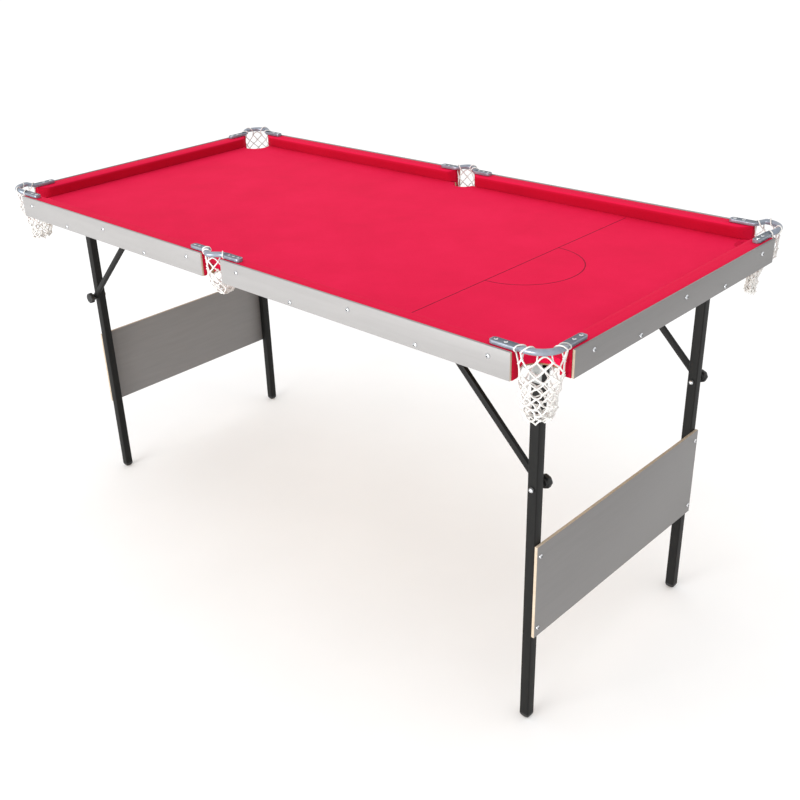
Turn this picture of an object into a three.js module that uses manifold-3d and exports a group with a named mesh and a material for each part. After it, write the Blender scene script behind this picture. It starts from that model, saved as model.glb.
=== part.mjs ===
// Folding table-top pool table: framed bed with cushions and six net pockets on two folding leg frames.
// Millimetres, +Z up, +X along the length, origin on the floor under the middle of the bed.
import * as THREE from 'three';
import { mergeVertices } from 'three/addons/utils/BufferGeometryUtils.js';
import Module from 'manifold-3d';

const wasm = await Module();
wasm.setup();

// ---- Driving dimensions ----
const GAP = 0.3;                    // clearance between neighbouring pieces

const TABLE_LENGTH = 1520;
const TABLE_WIDTH = 768;
const TOP_HEIGHT = 772;             // top edge of the aprons above the floor
const FRAME_HEIGHT = 46;            // aprons and rails

const APRON_THICKNESS = 4.5;
const APRON_END_SETBACK = 66;       // apron ends, back from the table's corner
const APRON_MIDDLE_GAP = 59;        // between the two aprons of a long side

const LONG_RAIL_INSET = 20;         // rail's inner face, in from the table's outer face
const END_RAIL_INSET = 24;
const RAIL_END_SETBACK = 65;
const RAIL_MIDDLE_GAP = 57;
const RAIL_TOP_DROP = 0.8;          // rail top below the apron top

const CUSHION_DEPTH = 14;
const LONG_CUSHION_BACK_END = 690;  // |x| of a long cushion's corner jaw at its back
const LONG_CUSHION_NOSE_END = 668;
const MIDDLE_JAW_BACK = 29;
const MIDDLE_JAW_NOSE = 45;
const END_CUSHION_BACK_END = 314;
const END_CUSHION_NOSE_END = 292;

const BED_THICKNESS = 16;
const CLOTH_THICKNESS = 1.2;
const CORNER_POCKET_INSET = 48;     // pocket centre, in from both outer faces
const CORNER_HOLE_RADIUS = 34;
const MIDDLE_POCKET_INSET = 23;
const MIDDLE_HOLE_RADIUS = 26;

const IRON_INSET = 16;              // centreline of a pocket iron's arms, in from the outer face
const IRON_CORNER_REACH = 113;      // arm ends, from the table's corner
const IRON_CORNER_CENTRE = 45;      // centre of the corner loop, in from both outer faces
const IRON_CORNER_RADIUS = 38;
const IRON_CORNER_RISE = 20;        // length over which an arm turns into the corner loop
const IRON_MIDDLE_REACH = 72;
const IRON_MIDDLE_LOOP = 32;        // half width of the middle loop
const IRON_MIDDLE_BULGE = 19;
const ARM_HALF = [8, 3.7];          // half width and half height of the flat arms
const LOOP_HALF = [5.3, 5.3];       // the same of the round loop
const CORNER_LOOP_RISE = 8;         // the loops' centrelines above the apron top
const MIDDLE_LOOP_RISE = 5.5;

const NET_WALL = 2;
const NET_CORNER_BOTTOM = 653;
const NET_CORNER_CENTRE = 46;       // net axis, in from both outer faces
const NET_CORNER_RADII = [24, 34];  // at the bottom and under the bed
const NET_MIDDLE_BOTTOM = 692;
const NET_MIDDLE_RADII = [21, 25];

const LEG_SIZE = 19;
const LEG_WALL = 1.5;
const LEG_X = 675;
const LEG_WIDE_Y = -280.9;          // the right-hand frame's two legs, offset so that the frames nest
const LEG_NARROW_Y = 236.9;
const PIVOT_Z = 695;
const LEG_TOP_Z = 709;
const BOARD_THICKNESS = 6;
const BOARD_BOTTOM_Z = 193;
const BOARD_TOP_Z = 383;
const FOOT_HEIGHT = 10;             // plastic below the leg tube
const FOOT_CHAMFER = 5;
const FOOT_PLUG_HEIGHT = 16;        // part of the foot that stands inside the tube
const LEG_BOTTOM_Z = FOOT_HEIGHT + GAP;

const ROD_RADIUS = 4;
const BOLT_Z = 490;
const BOLT_RADIUS = 3;
const BRACE_PIVOT_X = 447;
const BRACE_PIVOT_Z = 717;
const BRACE_WIDTH = 11;
const BRACE_THICKNESS = 8;
const NOTCH_LEAN = 23;              // degrees from the brace's normal towards its pivot
const KNOB_RADIUS = 13;
const KNOB_LENGTH = 15;
const BRACKET_WALL = 2;

// ---- Derived heights and half sizes ----
const HALF_LENGTH = TABLE_LENGTH / 2;
const HALF_WIDTH = TABLE_WIDTH / 2;
const FRAME_BOTTOM = TOP_HEIGHT - FRAME_HEIGHT;
const RAIL_TOP = TOP_HEIGHT - RAIL_TOP_DROP;
const BED_TOP = FRAME_BOTTOM + BED_THICKNESS;
const CLOTH_TOP = BED_TOP + GAP + CLOTH_THICKNESS;
const CUSHION_BOTTOM = CLOTH_TOP + GAP;
const UNDER_BED = FRAME_BOTTOM - GAP;

// ---- Finishes ----
const LAMINATE = { color: 0xc4c1bd, roughness: 0.55, metalness: 0 };
const CLOTH = { color: 0xd8254a, roughness: 0.95, metalness: 0 };
const CUSHION_CLOTH = { color: 0xc01c3e, roughness: 0.95, metalness: 0 };
const RAW_BOARD = { color: 0xb8976a, roughness: 0.85, metalness: 0 };
const IRON = { color: 0x8d98a6, roughness: 0.35, metalness: 0.8 };
const CORD = { color: 0xf2f2f0, roughness: 0.9, metalness: 0 };
const BLACK_STEEL = { color: 0x22221f, roughness: 0.4, metalness: 0.3 };
const BLACK_PLASTIC = { color: 0x151515, roughness: 0.5, metalness: 0 };
const ZINC = { color: 0xb9bcc0, roughness: 0.35, metalness: 0.9 };

// ---- Geometry helpers ----
function boxBetween(low, high) {
  const size = high.map((h, i) => h - low[i]);
  const box = new THREE.BoxGeometry(...size);
  return box.translate(...low.map((l, i) => l + size[i] / 2));
}

function rodAlongY(radius, y0, y1, x, z, sides = 16) {
  const rod = new THREE.CylinderGeometry(radius, radius, y1 - y0, sides);
  return rod.translate(x, (y0 + y1) / 2, z);
}

function rodAlongZ(radius, z0, z1, x, y, sides = 48) {
  const rod = new THREE.CylinderGeometry(radius, radius, z1 - z0, sides);
  rod.rotateX(Math.PI / 2);
  return rod.translate(x, y, (z0 + z1) / 2);
}

function toSolid(geometry) {
  const bare = geometry.clone();
  bare.deleteAttribute('normal');
  bare.deleteAttribute('uv');
  const merged = mergeVertices(bare, 1e-4);
  const corners = Array.from(merged.getIndex().array);
  const triangles = [];
  for (let i = 0; i < corners.length; i += 3) {
    const [a, b, c] = corners.slice(i, i + 3);
    if (a !== b && b !== c && c !== a) {
      triangles.push(a, b, c);
    }
  }
  return new wasm.Manifold(new wasm.Mesh({
    numProp: 3,
    vertProperties: new Float32Array(merged.getAttribute('position').array),
    triVerts: new Uint32Array(triangles),
  }));
}

function toGeometry(solid) {
  const mesh = solid.getMesh();
  const geometry = new THREE.BufferGeometry();
  geometry.setAttribute('position', new THREE.BufferAttribute(mesh.vertProperties, 3));
  geometry.setIndex(new THREE.BufferAttribute(mesh.triVerts, 1));
  geometry.computeVertexNormals();
  return geometry;
}

function cut(base, ...tools) {
  return toGeometry(tools.reduce((left, tool) => left.subtract(toSolid(tool)), toSolid(base)));
}

function join(base, ...others) {
  return toGeometry(others.reduce((sum, other) => sum.add(toSolid(other)), toSolid(base)));
}

function latheAboutZ(profile, sides) {
  const points = profile.map(([r, z]) => new THREE.Vector2(r, z));
  return new THREE.LatheGeometry(points, sides).rotateX(Math.PI / 2);
}

function piece(name, geometry, finish) {
  const mesh = new THREE.Mesh(geometry, new THREE.MeshStandardMaterial(finish));
  mesh.name = name;
  return mesh;
}

function turned(quarterTurns, ...children) {
  const group = new THREE.Group();
  group.rotation.z = quarterTurns * Math.PI / 2;
  group.add(...children);
  return group;
}

// A bar along X whose ends are planes that lean with the depth: ends are [back, nose] x positions.
function jawedBar(profile, depth, startEnds, stopEnds) {
  const shape = new THREE.Shape(profile.map(([d, z]) => new THREE.Vector2(d, z)));
  const bar = new THREE.ExtrudeGeometry(shape, { depth: 1, bevelEnabled: false });
  const position = bar.getAttribute('position');
  for (let i = 0; i < position.count; i += 1) {
    const d = position.getX(i);
    const z = position.getY(i);
    const ends = position.getZ(i) > 0.5 ? stopEnds : startEnds;
    const x = THREE.MathUtils.lerp(ends[0], ends[1], d / depth);
    position.setXYZ(i, x, d, z);
  }
  bar.computeVertexNormals();
  return bar;
}

// A bar of changing oval section along a level path. Each station is {x, y, z, turn, half, square}.
function ovalSweep(stations, ringCount) {
  const positions = [];
  const indices = [];
  for (const s of stations) {
    for (let k = 0; k < ringCount; k += 1) {
      const angle = (k / ringCount) * 2 * Math.PI;
      const across = s.half[0] * Math.sign(Math.cos(angle)) * Math.abs(Math.cos(angle)) ** s.square;
      const up = s.half[1] * Math.sign(Math.sin(angle)) * Math.abs(Math.sin(angle)) ** s.square;
      positions.push(s.x - across * Math.sin(s.turn), s.y + across * Math.cos(s.turn), s.z + up);
    }
  }
  for (let i = 0; i + 1 < stations.length; i += 1) {
    for (let k = 0; k < ringCount; k += 1) {
      const a = i * ringCount + k;
      const b = i * ringCount + (k + 1) % ringCount;
      indices.push(a, b, a + ringCount, b, b + ringCount, a + ringCount);
    }
  }
  const last = (stations.length - 1) * ringCount;
  for (let k = 1; k + 1 < ringCount; k += 1) {
    indices.push(0, k + 1, k);
    indices.push(last, last + k, last + k + 1);
  }
  const geometry = new THREE.BufferGeometry();
  geometry.setAttribute('position', new THREE.Float32BufferAttribute(positions, 3));
  geometry.setIndex(indices);
  geometry.computeVertexNormals();
  return geometry;
}

// ---- Bed ----
function pocketCuts(z0, z1) {
  const cuts = [];
  for (const sx of [-1, 1]) {
    for (const sy of [-1, 1]) {
      const x = sx * (HALF_LENGTH - CORNER_POCKET_INSET);
      const y = sy * (HALF_WIDTH - CORNER_POCKET_INSET);
      cuts.push(rodAlongZ(CORNER_HOLE_RADIUS, z0, z1, x, y));
      const far = [sx * HALF_LENGTH, sy * HALF_WIDTH];
      cuts.push(boxBetween(
        [Math.min(x, far[0]), Math.min(y, far[1]), z0],
        [Math.max(x, far[0]), Math.max(y, far[1]), z1],
      ));
    }
  }
  for (const sy of [-1, 1]) {
    cuts.push(rodAlongZ(MIDDLE_HOLE_RADIUS, z0, z1, 0, sy * (HALF_WIDTH - MIDDLE_POCKET_INSET)));
  }
  return cuts;
}

function bedLayer(z0, z1) {
  const x = HALF_LENGTH - END_RAIL_INSET - GAP;
  const y = HALF_WIDTH - LONG_RAIL_INSET - GAP;
  return cut(boxBetween([-x, -y, z0], [x, y, z1]), ...pocketCuts(z0 - 1, z1 + 1));
}

// ---- Frame around the bed ----
function apron(x0, x1) {
  return boxBetween([x0, -HALF_WIDTH, FRAME_BOTTOM], [x1, -HALF_WIDTH + APRON_THICKNESS, TOP_HEIGHT]);
}

function endApron() {
  const y = HALF_WIDTH - APRON_END_SETBACK;
  return boxBetween([HALF_LENGTH - APRON_THICKNESS, -y, FRAME_BOTTOM], [HALF_LENGTH, y, TOP_HEIGHT]);
}

function rail(x0, x1) {
  const outer = -HALF_WIDTH + APRON_THICKNESS + GAP;
  const inner = -HALF_WIDTH + LONG_RAIL_INSET;
  return boxBetween([x0, outer, FRAME_BOTTOM], [x1, inner, RAIL_TOP]);
}

function endRail() {
  const y = HALF_WIDTH - RAIL_END_SETBACK;
  const outer = HALF_LENGTH - APRON_THICKNESS - GAP;
  const inner = HALF_LENGTH - END_RAIL_INSET;
  return boxBetween([inner, -y, FRAME_BOTTOM], [outer, y, RAIL_TOP]);
}

// Cushion section: depth from its back, then height.
function cushionProfile() {
  const noseZ = CLOTH_TOP + 24;
  return [
    [0, CUSHION_BOTTOM],
    [CUSHION_DEPTH * 0.55, CUSHION_BOTTOM],
    [CUSHION_DEPTH * 0.93, noseZ - 3.5],
    [CUSHION_DEPTH, noseZ - 1.5],
    [CUSHION_DEPTH * 0.93, noseZ + 0.8],
    [CUSHION_DEPTH * 0.6, RAIL_TOP - 0.9],
    [0, RAIL_TOP],
  ];
}

function longCushion(startEnds, stopEnds) {
  const bar = jawedBar(cushionProfile(), CUSHION_DEPTH, startEnds, stopEnds);
  return bar.translate(0, -HALF_WIDTH + LONG_RAIL_INSET + GAP, 0);
}

function endCushion() {
  const half = [END_CUSHION_BACK_END, END_CUSHION_NOSE_END];
  const bar = jawedBar(cushionProfile(), CUSHION_DEPTH, half.map((v) => -v), half);
  bar.rotateZ(Math.PI / 2);
  return bar.translate(HALF_LENGTH - END_RAIL_INSET - GAP, 0, 0);
}

// ---- Pocket irons ----
const ARM_Z = RAIL_TOP + GAP + ARM_HALF[1];

// blend is 0 on the flat arm and 1 on the round loop, which stands rise above the apron top
function ironStation(x, y, turn, blend, rise) {
  const smooth = THREE.MathUtils.smoothstep(blend, 0, 1);
  return {
    x,
    y,
    turn,
    z: THREE.MathUtils.lerp(ARM_Z, TOP_HEIGHT + rise, smooth),
    half: ARM_HALF.map((v, i) => THREE.MathUtils.lerp(v, LOOP_HALF[i], smooth)),
    square: THREE.MathUtils.lerp(0.45, 1, smooth),
  };
}

// The arm's rounded end: stations that narrow towards the tip, given as distances from it.
function armTip(place) {
  const tip = [[0, 0.45], [1.5, 0.75], [4, 0.95], [8, 1]];
  return tip.map(([along, width]) => {
    const station = place(along);
    station.half = [station.half[0] * width, station.half[1]];
    return station;
  });
}

// Near-left corner iron: one arm along +X, one along +Y, joined by a quarter loop that stands further out.
function cornerIron() {
  const centre = IRON_CORNER_CENTRE;
  const rise = CORNER_LOOP_RISE;
  const swing = IRON_INSET - (centre - IRON_CORNER_RADIUS);
  const arcSteps = 12;
  const blendSteps = 6;
  // t is 0 on the arm and 1 on the loop: inset, distance from the corner, and slope in plan
  const rising = (t) => ({
    inset: IRON_INSET - swing * THREE.MathUtils.smoothstep(t, 0, 1),
    along: centre + IRON_CORNER_RISE * (1 - t),
    slope: Math.atan(swing * 6 * t * (1 - t) / IRON_CORNER_RISE),
  });
  const tipY = (along) => ironStation(IRON_INSET, IRON_CORNER_REACH - along, -Math.PI / 2, 0, rise);
  const tipX = (along) => ironStation(IRON_CORNER_REACH - along, IRON_INSET, 0, 0, rise);
  const stations = armTip(tipY);
  for (let i = 0; i < blendSteps; i += 1) {
    const { inset, along, slope } = rising(i / blendSteps);
    stations.push(ironStation(inset, along, -Math.PI / 2 - slope, i / blendSteps, rise));
  }
  for (let i = 0; i <= arcSteps; i += 1) {
    const angle = Math.PI + (i / arcSteps) * Math.PI / 2;
    const x = centre + IRON_CORNER_RADIUS * Math.cos(angle);
    const y = centre + IRON_CORNER_RADIUS * Math.sin(angle);
    stations.push(ironStation(x, y, angle + Math.PI / 2, 1, rise));
  }
  for (let i = 1; i <= blendSteps; i += 1) {
    const blend = 1 - i / blendSteps;
    const { inset, along, slope } = rising(blend);
    stations.push(ironStation(along, inset, slope, blend, rise));
  }
  stations.push(...armTip(tipX).reverse());
  return ovalSweep(stations, 12).translate(-HALF_LENGTH, -HALF_WIDTH, 0);
}

function middleIron() {
  const loopSteps = 20;
  const base = -HALF_WIDTH + IRON_INSET;
  const rise = MIDDLE_LOOP_RISE;
  const tip = (side) => (along) => ironStation(side * (IRON_MIDDLE_REACH - along), base, 0, 0, rise);
  const stations = armTip(tip(-1));
  for (let i = 0; i <= loopSteps; i += 1) {
    const t = (i / loopSteps) * 2 - 1;
    const x = t * IRON_MIDDLE_LOOP;
    const bulge = IRON_MIDDLE_BULGE * Math.cos(t * Math.PI / 2) ** 2;
    const slope = IRON_MIDDLE_BULGE * (Math.PI / 2 / IRON_MIDDLE_LOOP) * Math.sin(t * Math.PI);
    stations.push(ironStation(x, base - bulge, Math.atan(slope), 1 - Math.abs(t) ** 3, rise));
  }
  stations.push(...armTip(tip(1)).reverse());
  return ovalSweep(stations, 12);
}

// ---- Nets: plain cups, with a wall that rises behind the iron's loop ----
function netCup(bottom, bottomRadius, topRadius) {
  const top = UNDER_BED - 1;
  const middle = (bottom + top) / 2;
  const middleRadius = (bottomRadius + topRadius) / 2 + 1.5;
  const outer = [
    [bottomRadius - 4, bottom],
    [bottomRadius, bottom + 5],
    [middleRadius, middle],
    [topRadius, top],
  ];
  const inner = outer.map(([r, z], i) => [r - NET_WALL, i < 2 ? z + NET_WALL : z]).reverse();
  return latheAboutZ([[0, bottom], ...outer, ...inner, [0, bottom + NET_WALL]], 24);
}

// An upright wall over part of a circle: angles in degrees, from below the bed to under the loop.
function netCollar(radius, startAngle, stopAngle) {
  const shape = new THREE.Shape();
  const start = THREE.MathUtils.degToRad(startAngle);
  const stop = THREE.MathUtils.degToRad(stopAngle);
  shape.absarc(0, 0, radius, start, stop, false);
  shape.absarc(0, 0, radius - NET_WALL, stop, start, true);
  const bottom = UNDER_BED - 4;
  const top = RAIL_TOP - 5;
  const options = { depth: top - bottom, bevelEnabled: false, curveSegments: 12 };
  const wall = new THREE.ExtrudeGeometry(shape, options);
  return wall.translate(0, 0, bottom);
}

function cornerNet() {
  const net = join(netCup(NET_CORNER_BOTTOM, ...NET_CORNER_RADII), netCollar(NET_CORNER_RADII[1], 170, 280));
  return net.translate(-HALF_LENGTH + NET_CORNER_CENTRE, -HALF_WIDTH + NET_CORNER_CENTRE, 0);
}

function middleNet() {
  const net = join(netCup(NET_MIDDLE_BOTTOM, ...NET_MIDDLE_RADII), netCollar(NET_MIDDLE_RADII[1], 215, 325));
  return net.translate(0, -HALF_WIDTH + MIDDLE_POCKET_INSET, 0);
}

// ---- Leg frame, built for the right-hand end ----
function leg(y) {
  const half = LEG_SIZE / 2;
  const core = half - LEG_WALL;
  const outside = boxBetween([LEG_X - half, y - half, LEG_BOTTOM_Z], [LEG_X + half, y + half, LEG_TOP_Z]);
  const inside = boxBetween(
    [LEG_X - core, y - core, LEG_BOTTOM_Z - 1],
    [LEG_X + core, y + core, LEG_TOP_Z + 1],
  );
  const rodHole = rodAlongY(ROD_RADIUS + GAP, y - LEG_SIZE, y + LEG_SIZE, LEG_X, PIVOT_Z);
  const boltHole = rodAlongY(BOLT_RADIUS + GAP, y - LEG_SIZE, y + LEG_SIZE, LEG_X, BOLT_Z);
  return cut(outside, inside, rodHole, boltHole);
}

// Plastic end plug: a block with a bevelled underside, and a plug that stands in the tube.
function foot(y) {
  const half = LEG_SIZE / 2;
  const outline = [
    [-half, FOOT_HEIGHT],
    [-half, FOOT_CHAMFER],
    [-half + FOOT_CHAMFER, 0],
    [half - FOOT_CHAMFER, 0],
    [half, FOOT_CHAMFER],
    [half, FOOT_HEIGHT],
  ].map(([a, b]) => new THREE.Vector2(a, b));
  const slab = new THREE.ExtrudeGeometry(new THREE.Shape(outline), { depth: LEG_SIZE, bevelEnabled: false });
  slab.rotateX(Math.PI / 2).translate(0, half, 0);
  const across = slab.clone().rotateZ(Math.PI / 2);
  const block = toSolid(slab).intersect(toSolid(across));
  const core = half - LEG_WALL - GAP;
  const plug = boxBetween([-core, -core, FOOT_HEIGHT - 1], [core, core, FOOT_HEIGHT + FOOT_PLUG_HEIGHT]);
  return toGeometry(block.add(toSolid(plug))).translate(LEG_X, y, 0);
}

function legBoard() {
  const x = LEG_X + LEG_SIZE / 2 + GAP;
  const low = [x, LEG_WIDE_Y - LEG_SIZE / 2, BOARD_BOTTOM_Z];
  const high = [x + BOARD_THICKNESS, LEG_NARROW_Y + LEG_SIZE / 2, BOARD_TOP_Z];
  return boxBetween(low, high);
}

function pivotRod() {
  const overhang = LEG_SIZE / 2 + BRACKET_WALL + 4;
  return rodAlongY(ROD_RADIUS, LEG_WIDE_Y - overhang, LEG_NARROW_Y + overhang, LEG_X, PIVOT_Z);
}

// U-shaped bracket under the bed, its two ears either side of the piece that turns in it.
function ears(x, z, y, gap, length, reach) {
  const top = UNDER_BED;
  const outer = gap / 2 + BRACKET_WALL;
  const plate = boxBetween([x - length, y - outer, top - BRACKET_WALL], [x + length, y + outer, top]);
  const walls = [-1, 1].map((side) => {
    const inner = side * gap / 2;
    const far = side * outer;
    const low = [x - reach, y + Math.min(inner, far), z - reach];
    return boxBetween(low, [x + reach, y + Math.max(inner, far), top - BRACKET_WALL / 2]);
  });
  return join(plate, ...walls);
}

function legBracket(y) {
  const gap = LEG_SIZE + 2 * GAP;
  const bracket = ears(LEG_X, PIVOT_Z, y, gap, 34, 11);
  const hole = rodAlongY(ROD_RADIUS + GAP, y - LEG_SIZE, y + LEG_SIZE, LEG_X, PIVOT_Z);
  return cut(bracket, hole);
}

function braceCentre(legY) {
  return legY + LEG_SIZE / 2 + GAP + BRACE_THICKNESS / 2;
}

function braceBracket(legY) {
  const y = braceCentre(legY);
  const gap = BRACE_THICKNESS + 2 * GAP;
  const bracket = ears(BRACE_PIVOT_X, BRACE_PIVOT_Z, y, gap, 20, 6);
  const pin = rodAlongY(BOLT_RADIUS, y - gap / 2 - 1, y + gap / 2 + 1, BRACE_PIVOT_X, BRACE_PIVOT_Z);
  return join(bracket, pin);
}

// A flat link with rounded ends from the origin along +X.
function link(length, width, thickness) {
  const half = width / 2;
  const shape = new THREE.Shape();
  shape.absarc(length, 0, half, -Math.PI / 2, Math.PI / 2, false);
  shape.absarc(0, 0, half, Math.PI / 2, 3 * Math.PI / 2, false);
  const bar = new THREE.ExtrudeGeometry(shape, { depth: thickness, bevelEnabled: false, curveSegments: 8 });
  return bar.rotateX(Math.PI / 2).translate(0, thickness / 2, 0);
}

function brace(legY) {
  const reach = [LEG_X - BRACE_PIVOT_X, BOLT_Z - BRACE_PIVOT_Z];
  const length = Math.hypot(...reach);
  const drop = Math.atan2(-reach[1], reach[0]);
  const bar = link(length, BRACE_WIDTH, BRACE_THICKNESS);
  const pinHole = rodAlongY(BOLT_RADIUS + GAP, -BRACE_THICKNESS, BRACE_THICKNESS, 0, 0);
  const notch = link(2 * BRACE_WIDTH, 2 * (BOLT_RADIUS + 0.5), 2 * BRACE_THICKNESS);
  notch.rotateY(-THREE.MathUtils.degToRad(90 + NOTCH_LEAN)).translate(length, 0, 0);
  const shaped = cut(bar, pinHole, notch);
  return shaped.rotateY(drop).translate(BRACE_PIVOT_X, braceCentre(legY), BRACE_PIVOT_Z);
}

// Hand knob with its stud through brace and leg, and the stud's domed head on the leg's far side.
function clampKnob(legY) {
  const grip = legY + LEG_SIZE / 2 + BRACE_THICKNESS + 3 * GAP;
  const end = legY - LEG_SIZE / 2 - GAP;
  const profile = [
    [0, end - 5],
    [3.5, end - 4.6],
    [5.5, end - 3],
    [5.5, end],
    [BOLT_RADIUS, end],
    [BOLT_RADIUS, grip],
    [8, grip],
    [8, grip + 3],
    [KNOB_RADIUS, grip + 4.5],
    [KNOB_RADIUS, grip + KNOB_LENGTH - 2],
    [KNOB_RADIUS - 3, grip + KNOB_LENGTH],
    [0, grip + KNOB_LENGTH],
  ];
  const points = profile.map(([r, y]) => new THREE.Vector2(r, y));
  return new THREE.LatheGeometry(points, 20).translate(LEG_X, 0, BOLT_Z);
}

function legFrame(side, wideName, narrowName) {
  const legs = [[wideName, LEG_WIDE_Y], [narrowName, LEG_NARROW_Y]];
  const pieces = legs.flatMap(([name, y]) => [
    piece(`leg_${side}_${name}`, leg(y), BLACK_STEEL),
    piece(`leg_foot_${side}_${name}`, foot(y), BLACK_PLASTIC),
    piece(`leg_bracket_${side}_${name}`, legBracket(y), ZINC),
    piece(`brace_${side}_${name}`, brace(y), BLACK_STEEL),
    piece(`brace_bracket_${side}_${name}`, braceBracket(y), ZINC),
    piece(`clamp_knob_${side}_${name}`, clampKnob(y), BLACK_PLASTIC),
  ]);
  pieces.push(piece(`leg_board_${side}`, legBoard(), LAMINATE));
  pieces.push(piece(`pivot_rod_${side}`, pivotRod(), ZINC));
  return pieces;
}

// ---- Assembly ----
const group = new THREE.Group();
group.add(piece('bed_board', bedLayer(FRAME_BOTTOM, BED_TOP), RAW_BOARD));
group.add(piece('bed_cloth', bedLayer(BED_TOP + GAP, CLOTH_TOP), CLOTH));

// The near side and right end, then the same turned half way round for the far side and left end.
for (const [halfTurns, sideName, leftName, rightName, endName] of [
  [0, 'near', 'left', 'right', 'right'],
  [1, 'far', 'right', 'left', 'left'],
]) {
  const apronEnd = HALF_LENGTH - APRON_END_SETBACK;
  const railEnd = HALF_LENGTH - RAIL_END_SETBACK;
  const cornerJaw = [LONG_CUSHION_BACK_END, LONG_CUSHION_NOSE_END];
  const middleJaw = [MIDDLE_JAW_BACK, MIDDLE_JAW_NOSE];
  const left = `${sideName}_${leftName}`;
  const right = `${sideName}_${rightName}`;
  group.add(turned(
    2 * halfTurns,
    piece(`apron_${left}`, apron(-apronEnd, -APRON_MIDDLE_GAP / 2), LAMINATE),
    piece(`apron_${right}`, apron(APRON_MIDDLE_GAP / 2, apronEnd), LAMINATE),
    piece(`apron_${endName}_end`, endApron(), LAMINATE),
    piece(`rail_${left}`, rail(-railEnd, -RAIL_MIDDLE_GAP / 2), RAW_BOARD),
    piece(`rail_${right}`, rail(RAIL_MIDDLE_GAP / 2, railEnd), RAW_BOARD),
    piece(`rail_${endName}_end`, endRail(), RAW_BOARD),
    piece(`cushion_${left}`, longCushion(cornerJaw.map((v) => -v), middleJaw.map((v) => -v)), CUSHION_CLOTH),
    piece(`cushion_${right}`, longCushion(middleJaw, cornerJaw), CUSHION_CLOTH),
    piece(`cushion_${endName}_end`, endCushion(), CUSHION_CLOTH),
    piece(`pocket_iron_${sideName}_middle`, middleIron(), IRON),
    piece(`pocket_net_${sideName}_middle`, middleNet(), CORD),
  ));
}

// The corner pockets are one shape, turned to face each corner.
const corners = [['near_left', -1, -1], ['near_right', 1, -1], ['far_right', 1, 1], ['far_left', -1, 1]];
corners.forEach(([name, sx, sy], quarterTurns) => {
  const place = turned(
    quarterTurns,
    piece(`pocket_iron_${name}`, cornerIron().translate(HALF_LENGTH, HALF_WIDTH, 0), IRON),
    piece(`pocket_net_${name}`, cornerNet().translate(HALF_LENGTH, HALF_WIDTH, 0), CORD),
  );
  place.position.set(sx * HALF_LENGTH, sy * HALF_WIDTH, 0);
  group.add(place);
});

group.add(turned(0, ...legFrame('right', 'near', 'far')));
group.add(turned(2, ...legFrame('left', 'far', 'near')));

export default group;
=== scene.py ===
"""Folding pool table: the looks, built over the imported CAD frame. Metres, +Z up."""

import math
import random
from dataclasses import dataclass

import bmesh
import bpy
from mathutils import Matrix, Vector


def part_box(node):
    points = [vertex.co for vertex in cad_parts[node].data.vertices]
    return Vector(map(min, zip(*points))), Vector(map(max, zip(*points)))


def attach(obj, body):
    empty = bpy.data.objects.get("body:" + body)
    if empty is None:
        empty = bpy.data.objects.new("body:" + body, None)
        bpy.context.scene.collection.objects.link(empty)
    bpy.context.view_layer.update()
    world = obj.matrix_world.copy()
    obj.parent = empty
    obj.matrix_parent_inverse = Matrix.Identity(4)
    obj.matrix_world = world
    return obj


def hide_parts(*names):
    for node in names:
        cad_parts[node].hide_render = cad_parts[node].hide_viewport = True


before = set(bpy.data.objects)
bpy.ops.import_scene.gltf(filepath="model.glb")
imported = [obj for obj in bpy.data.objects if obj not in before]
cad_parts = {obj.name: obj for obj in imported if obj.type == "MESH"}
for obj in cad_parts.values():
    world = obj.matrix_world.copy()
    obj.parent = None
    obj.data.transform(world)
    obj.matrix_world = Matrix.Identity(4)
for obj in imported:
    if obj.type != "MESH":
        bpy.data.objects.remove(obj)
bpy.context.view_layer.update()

MM = 0.001
SIDES = ("near", "far")
CORNERS = ("near_left", "near_right", "far_right", "far_left")
PANELS = ("near_left", "near_right", "right_end", "far_right", "far_left", "left_end")

# ---- Camera: the photograph's viewpoint ----
CAMERA_AT = Vector((1.5074, -1.4850, 1.3899))
CAMERA_RIGHT = Vector((0.7090, 0.7037, -0.0456))
CAMERA_UP = Vector((-0.2879, 0.3478, 0.8923))
CAMERA_LENS = 46.6
CAMERA_SHIFT = (0.0597, -0.0014)

# ---- Light ----
WORLD_STRENGTH = 1.06
KEY_AT = Vector((-0.3, -6.0, 0.95))
KEY_TARGET = Vector((0, 0, 0.75))
KEY_SIZE = (4.0, 0.9)
KEY_POWER = 360

# ---- Places taken from the frame ----
HALF_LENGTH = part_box("apron_right_end")[1].x
HALF_WIDTH = -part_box("apron_near_left")[0].y
TOP_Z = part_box("apron_near_left")[1].z
FRAME_BOTTOM_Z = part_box("apron_near_left")[0].z
RAIL_TOP_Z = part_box("rail_near_left")[1].z
CLOTH_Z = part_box("bed_cloth")[1].z
BED_BOTTOM_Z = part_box("bed_board")[0].z
BED_HALF_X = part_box("bed_cloth")[1].x
BED_HALF_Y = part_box("bed_cloth")[1].y
CORNER_LOOP_TOP_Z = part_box("pocket_iron_near_left")[1].z
MIDDLE_LOOP_TOP_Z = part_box("pocket_iron_near_middle")[1].z

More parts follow.
